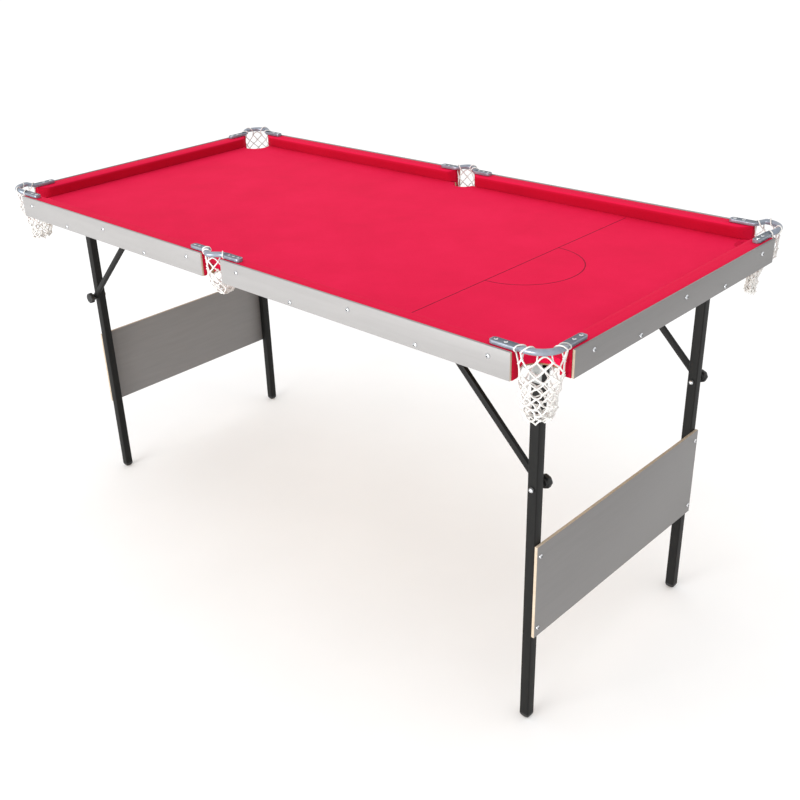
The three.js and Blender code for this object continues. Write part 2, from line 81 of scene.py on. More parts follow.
# ---- Driving dimensions of the visual pieces ----
CORNER_POCKET_INSET = 48 * MM
CORNER_HOLE_RADIUS = 34 * MM
MIDDLE_POCKET_INSET = 23 * MM
MIDDLE_HOLE_RADIUS = 26 * MM
SKIRT_INSET = 0.8 * MM          # the cloth's turned-down edge stands off the bed's hole
LOOP_RADIUS = 5.3 * MM
IRON_INSET = 16 * MM
ARM_HALF = (8 * MM, 3.7 * MM)   # half width and half height of an iron's flat arms
ARM_DISH = 1.1 * MM             # depth of the recess in an arm's top
ARM_REACH = 113 * MM
ARM_RISE = 20 * MM              # length over which an arm turns into the loop
ARM_TIP = 7 * MM                # length over which its tip is rounded
CORNER_LOOP_CENTRE = 45 * MM    # in from both outer faces
CORNER_LOOP_RADIUS = 38 * MM
MIDDLE_REACH = 72 * MM
MIDDLE_LOOP_HALF = 32 * MM
MIDDLE_BULGE = 19 * MM
BAULK_X = 434 * MM
D_RADIUS = 112 * MM
LINE_WIDTH = 1.6 * MM
CORNER_JAW = 27 * MM            # from a rail's end to where its cushion is full
MIDDLE_JAW = 16.5 * MM
NOSE_HEIGHT = 22.5 * MM         # the cushion's nose above the cloth
SCREW_RADIUS = 4.2 * MM
CORNER_IRON_SCREW_RADIUS = 3.5 * MM
MIDDLE_IRON_SCREW_RADIUS = 2.6 * MM
BRACKET_SCREW_RADIUS = 3.2 * MM
UPPER_SCREW_DROP = 16 * MM
LOWER_SCREW_DROP = 38 * MM
LONG_UPPER_SCREWS = (75 * MM, 363 * MM, 654 * MM)
LONG_LOWER_SCREWS = (219 * MM, 511 * MM)
END_UPPER_SCREWS = (0.0, 269 * MM, -269 * MM)
END_LOWER_SCREWS = (136 * MM, -136 * MM)
CORNER_IRON_SCREWS = (86 * MM, 104 * MM)
MIDDLE_IRON_SCREWS = (38 * MM, 51 * MM, 64 * MM)
CORD_RADIUS = 1.3 * MM
KNOT_RADIUS = 2.5 * MM
CORNER_NET_CENTRE = 44 * MM
NET_TOP_Z = 764 * MM            # a net's first row of knots
NET_NECK_Z = 728 * MM
FIX_ROW = 4                     # the row of knots that is fixed under the bed's edge
# how each corner net hangs: the lift of its bottom, then its radius at three depths, in millimetres
CORNER_HANGS = {
    "near_left": (4, 27, 23, 19),
    "near_right": (0, 29, 25.5, 22),
    "far_right": (-7, 15, 9.5, 8),
    "far_left": (1, 28, 24, 20),
}
TUBE_CORNER = 2.2 * MM
TUBE_WALL = 1.5 * MM
BRACKET_WALL = 2 * MM


# ---- Materials ----
def linear(*rgb):
    """sRGB 0..255 to a linear colour with alpha."""
    values = [c / 255 for c in rgb]
    return [c / 12.92 if c <= 0.04045 else ((c + 0.055) / 1.055) ** 2.4 for c in values] + [1.0]


class Look:
    """A principled material built from noise layers in object space."""

    def __init__(self, name, roughness=0.5, metallic=0.0, specular=0.5):
        self.material = bpy.data.materials.new(name)
        self.material.use_nodes = True
        self.tree = self.material.node_tree
        self.shader = self.tree.nodes["Principled BSDF"]
        self.set(Roughness=roughness, Metallic=metallic, Specular_IOR_Level=specular)
        self.coordinates = self.tree.nodes.new("ShaderNodeTexCoord").outputs
        self.place = self.coordinates["Object"]
        self.normal = None

    def node(self, kind, **values):
        made = self.tree.nodes.new(kind)
        for key, value in values.items():
            if key in made.inputs:
                made.inputs[key].default_value = value
            else:
                setattr(made, key, value)
        return made

    def link(self, source, target):
        self.tree.links.new(source, target)

    def noise(self, scale, detail=2.0, roughness=0.5, stretch=(1, 1, 1)):
        mapping = self.node("ShaderNodeMapping", Scale=stretch)
        self.link(self.place, mapping.inputs["Vector"])
        made = self.node("ShaderNodeTexNoise", Scale=scale, Detail=detail, Roughness=roughness)
        self.link(mapping.outputs["Vector"], made.inputs["Vector"])
        return made.outputs["Fac"]

    def ramp(self, factor, *stops):
        """Stops are (place, sRGB colour)."""
        made = self.node("ShaderNodeValToRGB")
        elements = made.color_ramp.elements
        while len(elements) < len(stops):
            elements.new(0.5)
        for element, (at, colour) in zip(elements, stops):
            element.position = at
            element.color = linear(*colour)
        self.link(factor, made.inputs["Fac"])
        return made.outputs["Color"]

    def mix(self, factor, a, b):
        made = self.node("ShaderNodeMix", data_type="RGBA")
        for socket, value in ((made.inputs[0], factor), (made.inputs[6], a), (made.inputs[7], b)):
            if isinstance(value, (int, float, list, tuple)):
                socket.default_value = value
            else:
                self.link(value, socket)
        return made.outputs[2]

    def math(self, operation, *values):
        made = self.node("ShaderNodeMath", operation=operation)
        for socket, value in zip(made.inputs, values):
            if isinstance(value, (int, float)):
                socket.default_value = value
            else:
                self.link(value, socket)
        return made.outputs[0]

    def spread(self, factor, low, high, side="To"):
        """Maps 0..1 to low..high, or with side "From" low..high to 0..1."""
        made = self.node("ShaderNodeMapRange", **{f"{side} Min": low, f"{side} Max": high})
        self.link(factor, made.inputs["Value"])
        return made.outputs["Result"]

    def upward(self, coordinate, low, high):
        """0..1 as the Z of "Object", the height, or "Normal", how level the surface is, goes low..high."""
        split = self.node("ShaderNodeSeparateXYZ")
        self.link(self.coordinates[coordinate], split.inputs[0])
        return self.spread(split.outputs["Z"], low, high, "From")

    def colour(self, socket):
        self.link(socket, self.shader.inputs["Base Color"])

    def rough(self, factor, low, high):
        self.link(self.spread(factor, low, high), self.shader.inputs["Roughness"])

    def bump(self, height, strength, distance):
        made = self.node("ShaderNodeBump", Strength=strength, Distance=distance)
        self.link(height, made.inputs["Height"])
        if self.normal is not None:
            self.link(self.normal, made.inputs["Normal"])
        self.normal = made.outputs["Normal"]
        self.link(self.normal, self.shader.inputs["Normal"])

    def set(self, **values):
        for key, value in values.items():
            self.shader.inputs[key.replace("_", " ")].default_value = value


def baize(name, shade, deep, bright, lit_top=None):
    """Napped woollen cloth: soft mottling, a fine weave, a little sheen; a top colour, when given, paints the
    surfaces that face up lighter than the sides, as painted light from above.
    """
    look = Look(name, roughness=0.95, specular=0.1)
    mottle = look.noise(9, detail=4, roughness=0.6)
    nap = look.noise(420, detail=3, roughness=0.7, stretch=(1, 0.35, 1))
    broad = look.ramp(mottle, (0.3, deep), (0.5, shade), (0.72, bright))
    fibres = look.ramp(nap, (0.25, deep), (0.75, bright))
    base = look.mix(0.22, broad, fibres)
    # painted light: up-facing surfaces take the lighter top colour, the sides keep the darker base as painted
    # shade
    if lit_top:
        lit_top_colour = look.ramp(nap, (0.25, [c * 0.96 for c in lit_top]), (0.75, lit_top))
        base = look.mix(look.upward("Normal", 0.45, 0.9), base, lit_top_colour)
    look.colour(base)
    weave = []
    for axis in "XY":
        wave = look.node("ShaderNodeTexWave", Scale=560, Distortion=1.5, Detail=1.0, bands_direction=axis)
        look.link(look.place, wave.inputs["Vector"])
        weave.append(wave.outputs["Fac"])
    look.bump(look.math("ADD", *weave), 0.12, 0.0003)
    look.bump(nap, 0.35, 0.0004)
    look.rough(mottle, 0.88, 0.98)
    look.set(Sheen_Weight=0.05, Sheen_Roughness=0.5, Sheen_Tint=linear(255, 90, 120))
    return look.material


def laminate(name, shade):
    """Printed grey foil on board: faint brushed streaks, specks and an orange-peel gloss."""
    look = Look(name, roughness=0.45, specular=0.4)
    deep, bright = ([c + change for c in shade] for change in (-4, 4))
    streaks = look.noise(60, detail=5, roughness=0.65, stretch=(0.12, 0.12, 1.6))
    specks = look.noise(900, detail=2, roughness=0.6)
    base = look.ramp(streaks, (0.25, deep), (0.5, shade), (0.8, bright))
    look.colour(look.mix(0.10, base, look.ramp(specks, (0.4, deep), (0.6, bright))))
    look.rough(streaks, 0.36, 0.52)
    look.bump(specks, 0.08, 0.0002)
    return look.material


def fibreboard(name, shade, deep, bright):
    """Raw cut board edge: fine fibres and pores."""
    look = Look(name, roughness=0.85, specular=0.25)
    fibres = look.noise(700, detail=5, roughness=0.7, stretch=(0.5, 0.5, 2.5))
    patches = look.noise(30, detail=3)
    base = look.ramp(fibres, (0.3, deep), (0.55, shade), (0.8, bright))
    look.colour(look.mix(0.25, base, look.ramp(patches, (0.35, deep), (0.7, bright))))
    look.rough(fibres, 0.75, 0.95)
    look.bump(fibres, 0.4, 0.0004)
    return look.material


def coated_metal(name, shade, bright, roughness, metallic, peel=0.12, specular=0.5):
    """Painted or plated metal: a slightly uneven coat, rubbed lighter in places."""
    look = Look(name, roughness=roughness, metallic=metallic, specular=specular)
    wear = look.noise(45, detail=6, roughness=0.7)
    grain = look.noise(1300, detail=2)
    look.colour(look.ramp(wear, (0.42, shade), (0.78, bright)))
    look.rough(wear, roughness * 0.8, min(1.0, roughness * 1.3))
    look.bump(grain, peel, 0.0002)
    return look.material


def moulded_plastic(name, shade, bright, tip=None):
    """Black moulded plastic with a fine texture; tip tints the part that stands on the floor."""
    look = Look(name, roughness=0.5, specular=0.45)
    scuffs = look.noise(160, detail=5, roughness=0.7)
    texture = look.noise(2200, detail=1)
    base = look.ramp(scuffs, (0.45, shade), (0.8, bright))
    if tip:
        worn = look.math("MULTIPLY", look.upward("Object", 4.5 * MM, 0.5 * MM), 0.85)
        base = look.mix(worn, base, linear(*tip))
    look.colour(base)
    look.rough(scuffs, 0.4, 0.62)
    look.bump(texture, 0.12, 0.0002)
    return look.material


def cotton_cord(name):
    """White twisted cord."""
    look = Look(name, roughness=0.85, specular=0.25)
    twist = look.noise(900, detail=3, stretch=(1, 1, 0.35))
    grime = look.noise(70, detail=4)
    base = look.ramp(twist, (0.3, (196, 194, 190)), (0.6, (226, 225, 222)))
    stains = look.ramp(grime, (0.4, (206, 203, 196)), (0.7, (233, 232, 229)))
    look.colour(look.mix(0.3, base, stains))
    look.rough(twist, 0.75, 0.95)
    look.bump(twist, 0.6, 0.0004)
    look.set(Sheen_Weight=0.2, Sheen_Roughness=0.5)
    return look.material


def ink(name):
    """Marking-pen line soaked into the cloth."""
    look = Look(name, roughness=0.9, specular=0.15)
    soak = look.noise(600, detail=3)
    look.colour(look.ramp(soak, (0.35, (92, 14, 34)), (0.75, (150, 26, 54))))
    look.rough(soak, 0.85, 0.95)
    return look.material


CLOTH = baize("bed_baize", (229, 24, 72), (223, 21, 68), (234, 29, 77))
# the cushions' cloth: the bed's baize with its sides painted darker as painted shade and its top painted
# lighter as painted light
CUSHION_CLOTH_PAINTED_LIGHT = baize("cushion_baize_painted_light", (180, 10, 44), (174, 8, 41), (185, 13, 48), lit_top=(226, 22, 68))
LAMINATE = laminate("grey_laminate", (141, 139, 138))
# a darker copy of the grey laminate: painted shade for the end aprons and leg boards, which the key light
# barely reaches
SHADED_LAMINATE = laminate("end_board_laminate_painted_shade", (123, 121, 120))
EDGE = fibreboard("raw_board_edge", (188, 172, 152), (166, 147, 124), (208, 196, 178))
UNDERSIDE = fibreboard("bed_underside", (176, 148, 112), (150, 120, 86), (196, 170, 136))
IRON = coated_metal("iron_paint", (128, 136, 148), (158, 165, 176), 0.3, 0.5)
# a darker copy of the iron paint for the arms' dished tops: painted shade and dark reflection
IRON_TOP_SHADE = coated_metal("iron_top_painted_shade", (84, 92, 104), (108, 116, 128), 0.34, 0.4)
CORD = cotton_cord("net_cord")
STEEL = coated_metal("black_steel", (13, 13, 12), (22, 22, 20), 0.5, 0.0, peel=0.2, specular=0.2)
PLASTIC = moulded_plastic("black_plastic", (22, 22, 22), (40, 40, 40))
FOOT_PLASTIC = moulded_plastic("foot_plastic", (30, 30, 31), (46, 46, 46), tip=(96, 80, 48))
CHROME = coated_metal("screw_chrome", (205, 207, 210), (232, 233, 235), 0.18, 1.0, peel=0.05)
# dark metal for the screws' cross: painted shade of the recess
SCREW_RECESS_SHADE = coated_metal("screw_recess_painted_shade", (60, 61, 63), (82, 83, 86), 0.45, 0.9)
ZINC = coated_metal("zinc_plate", (158, 160, 158), (188, 190, 190), 0.36, 0.95, peel=0.1)
LINE_INK = ink("line_ink")


# ---- Mesh helpers ----
def measured(node):
    """A node's lowest and highest corners, its centre, and half its size along X."""
    low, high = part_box(node)
    return low, high, (low + high) / 2, (high.x - low.x) / 2


def new_object(name, data):
    made = bpy.data.objects.new(name, data)
    bpy.context.scene.collection.objects.link(made)
    return made


def add_piece(mesh, materials, body, replaces=()):
    """A piece named after its mesh, riding on a body."""
    for material in materials:
        mesh.materials.append(material)
    piece = new_object(mesh.name, mesh)
    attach(piece, body)
    if replaces:
        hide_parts(*replaces)
    return piece


def shade(mesh, sharp_angle=35):
    mesh.shade_smooth()
    mesh.set_sharp_from_angle(angle=math.radians(sharp_angle))


def bmesh_to_mesh(bm, name, sharp_angle=35):
    bmesh.ops.recalc_face_normals(bm, faces=bm.faces)
    mesh = bpy.data.meshes.new(name)
    bm.to_mesh(mesh)
    bm.free()
    shade(mesh, sharp_angle)
    return mesh


def round_edges(bm, edges, width):
    bmesh.ops.bevel(
        bm, geom=edges, offset=width, segments=2, profile=0.5, affect="EDGES", clamp_overlap=True,
    )


def bevelled(bm, width, angle=40):
    """Rounds every edge sharper than angle, in degrees."""
    bmesh.ops.recalc_face_normals(bm, faces=bm.faces)
    limit = math.radians(angle)
    edges = [e for e in bm.edges if len(e.link_faces) == 2 and e.calc_face_angle(0) > limit]
    round_edges(bm, edges, width)


def loft(bm, rings):
    """Faces between each ring of vertices and the next."""
    for a, b in zip(rings, rings[1:]):
        for k in range(len(a)):
            n = (k + 1) % len(a)
            bm.faces.new((a[k], a[n], b[n], b[k]))


class Builder:
    """Collects tubes and blobs into one mesh."""

    def __init__(self):
        self.vertices = []
        self.faces = []

    def ring(self, centre, side, up, radius, count, wobble=None):
        """Adds a ring of vertices and returns its first; wobble changes the radius by angle."""
        start = len(self.vertices)
        for k in range(count):
            angle = 2 * math.pi * k / count
            r = wobble(radius, angle) if wobble else radius
            self.vertices.append(centre + (side * (math.cos(angle) * r) + up * (math.sin(angle) * r)))
        return start

    def bridge(self, a, b, count):
        for k in range(count):
            n = (k + 1) % count
            self.faces.append((a + k, a + n, b + n, b + k))

    def close(self, starts, count):
        """A cap, the sides between the rings that start at these vertices, and the other cap."""
        self.faces.append(tuple(range(starts[0] + count - 1, starts[0] - 1, -1)))
        for a, b in zip(starts, starts[1:]):
            self.bridge(a, b, count)
        self.faces.append(tuple(range(starts[-1], starts[-1] + count)))

    def tube(self, points, radius, sides):
        """A round cord through the points, its ends closed."""
        side = (points[1] - points[0]).normalized().orthogonal().normalized()
        starts = []
        for i, point in enumerate(points):
            ahead = (points[min(i + 1, len(points) - 1)] - points[max(i - 1, 0)]).normalized()
            side = (side - ahead * side.dot(ahead)).normalized()
            starts.append(self.ring(point, side, ahead.cross(side), radius, sides))
        self.close(starts, sides)

    def blob(self, centre, radius, squash=0.8, sides=8, rings=5):
        """A knot: a slightly flattened ball."""
        axis = Vector((0, 0, 1))
        side = axis.orthogonal().normalized()
        up = axis.cross(side)
        starts = []
        for j in range(1, rings):
            latitude = math.pi * j / rings - math.pi / 2
            middle = centre + axis * (math.sin(latitude) * radius * squash)
            starts.append(self.ring(middle, side, up, math.cos(latitude) * radius, sides))
        self.close(starts, sides)

    def mesh(self, name, transform=None, sharp_angle=60):
        mesh = bpy.data.meshes.new(name)
        points = self.vertices if transform is None else [transform @ v for v in self.vertices]
        mesh.from_pydata(points, [], self.faces)
        shade(mesh, sharp_angle)
        return mesh


def turned_profile(profile, axis_at, axis, sides, wobble=None):
    """A lathe piece: profile is (radius, distance along the axis)."""
    built = Builder()
    side = axis.orthogonal().normalized()
    up = axis.cross(side)
    starts = [built.ring(axis_at + axis * z, side, up, r, sides, wobble) for r, z in profile]
    built.close(starts, sides)
    return built


# ---- Screws ----
def screw_parts(radius):
    """(head, recess), facing +Z with the seat at z 0; the recess is a dark cross standing just proud of the
    dome, painted shade in place of a hollow.
    """
    shape = [(1, 0), (1, 0.18), (0.92, 0.36), (0.7, 0.52), (0.4, 0.62), (0.1, 0.64)]
    profile = [(radius * r, radius * z) for r, z in shape]
    head = turned_profile(profile, Vector(), Vector((0, 0, 1)), sides=20)
    arm, width = radius * 0.52, radius * 0.13
    recess = Builder()
    for x, y in ((arm, width), (width, arm)):
        start = len(recess.vertices)
        for z in (0.3 * radius, radius * 0.66):
            recess.vertices += [Vector(p) for p in ((-x, -y, z), (x, -y, z), (x, y, z), (-x, y, z))]
        recess.bridge(start, start + 4, 4)
        recess.faces.append((start + 4, start + 5, start + 6, start + 7))
    return head, recess


def screws(name, places, body, radius=SCREW_RADIUS):
    """Pan-head cross screws, one object: places are (point, outward normal, turn in degrees)."""
    head, recess = screw_parts(radius)
    built = Builder()
    shaded_cross_from = []
    for point, normal, turn in places:
        spin = Matrix.Rotation(math.radians(turn), 4, "Z")
        facing = Vector(normal).to_track_quat("Z", "Y").to_matrix().to_4x4()
        matrix = Matrix.Translation(point) @ facing @ spin
        for part, is_shaded_cross in ((head, False), (recess, True)):
            offset = len(built.vertices)
            built.vertices += [matrix @ v for v in part.vertices]
            for face in part.faces:
                built.faces.append(tuple(offset + i for i in face))
                shaded_cross_from.append(is_shaded_cross)
    mesh = built.mesh(name, sharp_angle=50)
    # the cross takes the dark material, painted shade of the recess
    for polygon, is_shaded_cross in zip(mesh.polygons, shaded_cross_from):
        polygon.material_index = int(is_shaded_cross)
    add_piece(mesh, [CHROME, SCREW_RECESS_SHADE], body)


# ---- Boards ----
def board(node, thin_axis, body, bevel=0.6 * MM, banded_top=False, facing=LAMINATE):
    """A faced board with raw edges; banded_top keeps the upper edge faced like the sides."""
    low, high, centre, _ = measured(node)
    bm = bmesh.new()
    matrix = Matrix.Translation(centre) @ Matrix.Diagonal((*(high - low), 1))
    bmesh.ops.create_cube(bm, size=1, matrix=matrix)
    bevelled(bm, bevel)
    for face in bm.faces:
        if abs(face.normal[thin_axis]) < 0.7 and not (banded_top and face.normal.z > 0.5):
            face.material_index = 1
    add_piece(bmesh_to_mesh(bm, f"{node}_panel"), [facing, EDGE], body, [node])


def make_aprons():
    for name in PANELS:
        at_end = name.endswith("_end")
        # the end aprons take the darker laminate, painted shade
        facing = SHADED_LAMINATE if at_end else LAMINATE
        board(f"apron_{name}", 0 if at_end else 1, "table", banded_top=True, facing=facing)
    rng = random.Random(3)
    upper, lower = TOP_Z - UPPER_SCREW_DROP, TOP_Z - LOWER_SCREW_DROP
    long_row = [(x, upper) for x in LONG_UPPER_SCREWS] + [(x, lower) for x in LONG_LOWER_SCREWS]
    end_row = [(y, upper) for y in END_UPPER_SCREWS] + [(y, lower) for y in END_LOWER_SCREWS]
    for sign, side in ((-1, "near"), (1, "far")):
        places = [
            (Vector((mirror * x, sign * HALF_WIDTH, z)), (0, sign, 0), rng.uniform(0, 90))
            for x, z in long_row for mirror in (-1, 1)
        ]
        screws(f"apron_screws_{side}", places, "table")
    for sign, end in ((1, "right"), (-1, "left")):
        places = [(Vector((sign * HALF_LENGTH, y, z)), (sign, 0, 0), rng.uniform(0, 90)) for y, z in end_row]
        screws(f"apron_screws_{end}_end", places, "table")


# ---- Bed ----
def circle_arc(centre, radius, start, stop, steps):
    return [
        centre + radius * Vector((math.cos(a), math.sin(a)))
        for a in (start + (stop - start) * i / steps for i in range(steps + 1))
    ]


def bed_outline():
    """The bed's outline, counter-clockwise, as (point, on a pocket edge)."""
    corner = Vector((HALF_LENGTH - CORNER_POCKET_INSET, HALF_WIDTH - CORNER_POCKET_INSET))
    corner_radius = CORNER_HOLE_RADIUS - SKIRT_INSET
    middle_radius = MIDDLE_HOLE_RADIUS - SKIRT_INSET
    side_angle = math.asin((BED_HALF_Y - corner.y) / corner_radius)
    end_angle = math.acos((BED_HALF_X - corner.x) / corner_radius)
    middle = Vector((0, HALF_WIDTH - MIDDLE_POCKET_INSET))
    middle_angle = math.asin((BED_HALF_Y - middle.y) / middle_radius)
    outline = []
    for half_turn in (0, 1):
        turn = Matrix.Rotation(math.pi * half_turn, 2)
        # the near-right corner, the far-right corner, then the far middle pocket
        span = (math.pi - side_angle, 2 * math.pi - end_angle)
        near = [Vector((p.x, -p.y)) for p in circle_arc(corner, corner_radius, *span, 20)]
        far = circle_arc(corner, corner_radius, span[1], span[0], 20)
        centre = circle_arc(middle, middle_radius, -middle_angle, -math.pi + middle_angle, 20)
        for points in (near, far, centre):
            outline += [(turn @ p, True) for p in points[:-1]]
            outline.append((turn @ points[-1], False))
    return outline


def make_bed():
    outline = bed_outline()
    skirt_bottom = BED_BOTTOM_Z + 3 * MM
    bm = bmesh.new()
    top = [bm.verts.new((p.x, p.y, CLOTH_Z)) for p, _ in outline]
    bm.faces.new(top)
    bottom = [bm.verts.new((p.x, p.y, skirt_bottom)) for p, _ in outline]
    for i, (_, pocket) in enumerate(outline):
        if pocket:
            n = (i + 1) % len(outline)
            bm.faces.new((top[i], top[n], bottom[n], bottom[i]))
    loose = [v for v in bm.verts if not v.link_faces]
    bmesh.ops.delete(bm, geom=loose, context="VERTS")
    area = sum(f.calc_area() for f in bm.faces)
    piece = add_piece(bmesh_to_mesh(bm, "bed_baize_sheet"), [CLOTH], "table", ["bed_cloth"])
    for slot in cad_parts["bed_board"].material_slots:
        slot.material = UNDERSIDE
    make_lines()


def make_lines():
    """Baulk line and D: thin strips on the cloth."""
    z = CLOTH_Z + 0.12 * MM
    half = LINE_WIDTH / 2
    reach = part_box("cushion_far_right")[0].y
    bm = bmesh.new()
    corners = [(-half, -reach), (half, -reach), (half, reach), (-half, reach)]
    bm.faces.new([bm.verts.new((BAULK_X + x, y, z)) for x, y in corners])
    add_piece(bmesh_to_mesh(bm, "baulk_line"), [LINE_INK], "table")
    bm = bmesh.new()
    centre = Vector((BAULK_X, 0))
    inner, outer = (
        [bm.verts.new((p.x, p.y, z)) for p in circle_arc(centre, radius, -math.pi / 2, math.pi / 2, 48)]
        for radius in (D_RADIUS - half, D_RADIUS + half)
    )
    for i in range(len(inner) - 1):
        bm.faces.new((inner[i], outer[i], outer[i + 1], inner[i + 1]))
    add_piece(bmesh_to_mesh(bm, "d_line"), [LINE_INK], "table")


# ---- Rails and cushions: one cloth-covered piece each ----
def cushion_section(rail_depth, cushion_depth, share):
    """(depth, height) points round the covered rail; share is how far the cushion stands out, 0 to 1."""
    top, bottom = RAIL_TOP_Z, FRAME_BOTTOM_Z
    rest = CLOTH_Z + 0.3 * MM
    nose = CLOTH_Z + NOSE_HEIGHT
    reach = cushion_depth * share
    body = [
        (0.0, bottom), (0.0, top - 1.6 * MM), (0.5 * MM, top - 0.5 * MM), (1.6 * MM, top),
        (rail_depth * 0.6, top + 0.15 * MM), (rail_depth - 1.2 * MM, top), (rail_depth, top - 0.25 * MM),
    ]
    stand_out = [
        (0.10, top - 0.1 * MM), (0.35, top - 0.25 * MM), (0.62, top - 0.9 * MM), (0.82, top - 2.0 * MM),
        (0.94, nose + 2.2 * MM), (1.0, nose), (0.97, nose - 2.4 * MM), (0.88, nose - 5.5 * MM),
        (0.74, nose - 11 * MM), (0.60, rest + 3 * MM), (0.54, rest),
    ]
    front = [(rail_depth + d * reach, z) for d, z in stand_out]
    return [*body, *front, (rail_depth, rest), (rail_depth, bottom)]


def covered_rail(name, stations, to_world, replaces, rail_depth, cushion_depth):
    """Lofts the section along the stations, each (place along the rail, share)."""
    bm = bmesh.new()
    rings = []
    for along, share in stations:
        section = cushion_section(rail_depth, cushion_depth, max(share, 0.004))
        rings.append([bm.verts.new(to_world(along, d, z)) for d, z in section])
    loft(bm, rings)
    caps = [bm.faces.new(rings[0]), bm.faces.new(rings[-1])]
    rim = [e for f in caps for e in f.edges]
    bmesh.ops.recalc_face_normals(bm, faces=bm.faces)
    round_edges(bm, rim, 0.9 * MM)
    mesh = bmesh_to_mesh(bm, name, sharp_angle=50)
    piece = add_piece(mesh, [CUSHION_CLOTH_PAINTED_LIGHT], "table", replaces)


def jaw(back, nose, count=14):
    """Stations through a pocket jaw, from no cushion to the full one: the cloth turns softly round it."""
    return [
        (back + (nose - back) * i / count, math.sin(i / count * math.pi / 2)) for i in range(count + 1)
    ]


def make_rails():
    for name in PANELS:
        low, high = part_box(f"rail_{name}")
        axis = 1 if name.endswith("_end") else 0
        across = 1 - axis
        sign = 1 if low[across] > 0 else -1
        inner, outer = sorted((abs(low[across]), abs(high[across])))
        nose = min(abs(corner[across]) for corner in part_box(f"cushion_{name}"))

        def to_world(along, depth, z, axis=axis, sign=sign, outer=outer):
            point = [0.0, 0.0, z]
            point[axis] = along
            point[1 - axis] = sign * (outer - depth)
            return point

        start, stop = low[axis], high[axis]
        jaws = [CORNER_JAW, CORNER_JAW]
        if axis == 0:
            jaws[0 if start > 0 else 1] = MIDDLE_JAW
        span = (start + jaws[0], stop - jaws[1])
        stations = [(start, 0.0), *jaw(start + MM, span[0])]
        stations += [(span[0] + (span[1] - span[0]) * i / 24, 1.0) for i in range(1, 24)]
        stations += [*reversed(jaw(stop - MM, span[1])), (stop, 0.0)]
        replaces = [f"rail_{name}", f"cushion_{name}"]
        covered_rail(f"covered_rail_{name}", stations, to_world, replaces, outer - inner, inner - nose)


# ---- Pocket frames: a corner's own axes run inward from the table's two outer faces ----
def corner_transform(index):
    turn = Matrix.Rotation(index * math.pi / 2, 4, "Z")
    sx, sy = ((-1, -1), (1, -1), (1, 1), (-1, 1))[index]
    return Matrix.Translation((sx * HALF_LENGTH, sy * HALF_WIDTH, 0)) @ turn


def middle_transform(side):
    if side == "near":
        return Matrix.Translation((0, -HALF_WIDTH, 0))
    return Matrix.Translation((0, HALF_WIDTH, 0)) @ Matrix.Rotation(math.pi, 4, "Z")


# ---- Pocket irons: tubes pressed flat towards their screwed ends ----
ARM_Z = RAIL_TOP_Z + 0.3 * MM + ARM_HALF[1]
CORNER_LOOP_Z = CORNER_LOOP_TOP_Z - LOOP_RADIUS
MIDDLE_LOOP_Z = MIDDLE_LOOP_TOP_Z - LOOP_RADIUS


def smooth(t):
    t = max(0.0, min(1.0, t))
    return t * t * (3 - 2 * t)


def iron_section(blend, loop_z):
    """(half width, half height, centre height): blend is 0 on the flat arm and 1 on the round loop."""
    return (
        ARM_HALF[0] + (LOOP_RADIUS - ARM_HALF[0]) * blend,
        ARM_HALF[1] + (LOOP_RADIUS - ARM_HALF[1]) * blend,
        ARM_Z + (loop_z - ARM_Z) * blend,
    )


def corner_iron_path():
    """(point, blend) from the tip of the arm along +Y, round the loop, to the tip of the arm along +X."""
    centre = CORNER_LOOP_CENTRE
    swing = IRON_INSET - (centre - CORNER_LOOP_RADIUS)
    arm = []
    for i in range(41):
        y = ARM_REACH - (ARM_REACH - centre) * i / 40
        blend = smooth(1 - (y - centre) / ARM_RISE)
        arm.append((Vector((IRON_INSET - swing * blend, y)), blend))
    around = circle_arc(Vector((centre, centre)), CORNER_LOOP_RADIUS, math.pi, 1.5 * math.pi, 24)
    return arm + [(p, 1.0) for p in around[1:-1]] + [(Vector((p.y, p.x)), b) for p, b in reversed(arm)]


def middle_iron_path():
    path = []
    for i in range(61):
        x = MIDDLE_REACH * (2 * i / 60 - 1)
        t = min(1.0, abs(x) / MIDDLE_LOOP_HALF)
        y = IRON_INSET - MIDDLE_BULGE * math.cos(t * math.pi / 2) ** 2
        path.append((Vector((x, y)), smooth(1 - t ** 3)))
    return path


def lengths_along(path):
    """The distance travelled to each station of a path of (point, value)."""
    travelled = [0.0]
    for (a, _), (b, _) in zip(path, path[1:]):
        travelled.append(travelled[-1] + (b - a).length)
    return travelled


def signed_power(value, power):
    return math.copysign(abs(value) ** power, value)


